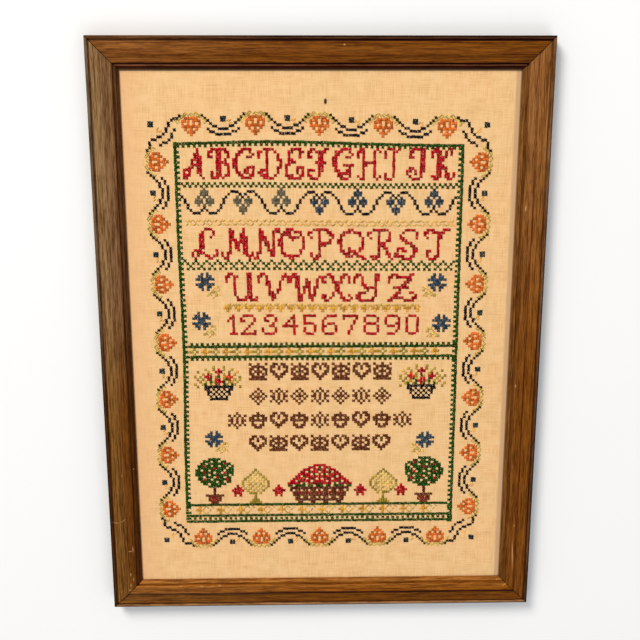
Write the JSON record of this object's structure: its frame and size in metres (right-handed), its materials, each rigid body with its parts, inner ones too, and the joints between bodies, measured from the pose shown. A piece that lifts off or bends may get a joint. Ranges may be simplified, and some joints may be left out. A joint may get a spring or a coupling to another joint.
{
  "type": "framed cross stitch sampler",
  "caption": "Cross stitch sampler on linen, stretched flat on a board in a mitred wooden frame with a moulded face, to hang on a wall or lay flat.",
  "frame": {"origin": "middle of the back plane, where the frame rests when it lies face up", "axes": "+X to the picture's right, +Y to the picture's top, +Z out of the picture's face"},
  "size_m": [0.4256, 0.566, 0.019],
  "materials": {
    "stained_wood": "stained mid brown with dark quirks, satin lacquer, worn along the ridge",
    "linen": "plain weave, natural peach and tan, matte",
    "board": "plain hardboard, matte brown",
    "cotton_thread": "stranded cotton in red, green, navy, blue, orange, gold, olive and brown, soft sheen"
  },
  "bodies": {
    "root": {"rail_top": "stained_wood", "rail_bottom": "stained_wood", "rail_left": "stained_wood", "rail_right": "stained_wood", "linen": "linen", "backing_board": "board"}
  },
  "joints": []
}
